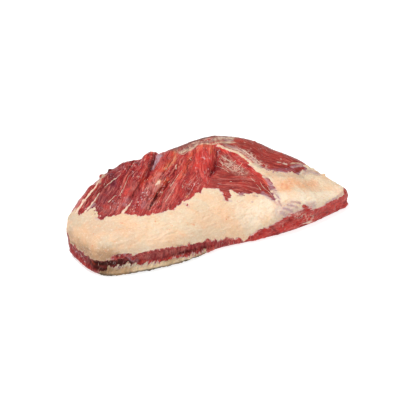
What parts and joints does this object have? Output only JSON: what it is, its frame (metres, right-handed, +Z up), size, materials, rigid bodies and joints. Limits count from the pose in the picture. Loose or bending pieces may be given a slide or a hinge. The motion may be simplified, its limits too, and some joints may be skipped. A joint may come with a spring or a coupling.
{
  "type": "raw beef brisket",
  "caption": "Whole raw beef brisket lying flat: a slab of slashed red muscle wrapped at its front and ends by a sheet of cream fat, with a pad of fat under its front.",
  "frame": {"origin": "under the middle of the box of the whole part, on the surface that it lies on", "axes": "+X along the slab from its thick left end to its thin right tip, +Y from the fat front to the thick back edge, +Z up"},
  "size_m": [0.4814, 0.2454, 0.0959],
  "materials": {
    "raw_muscle": "moist satin, red lean muscle with fibres, silverskin and fascia",
    "suet": "moist satin, cream fat with faint orange and pink blotches",
    "suet_under": "satin, darker cream fat"
  },
  "bodies": {
    "root": {"lean": "raw_muscle", "fat_cover": "suet", "fat_under": "suet_under"}
  },
  "joints": []
}
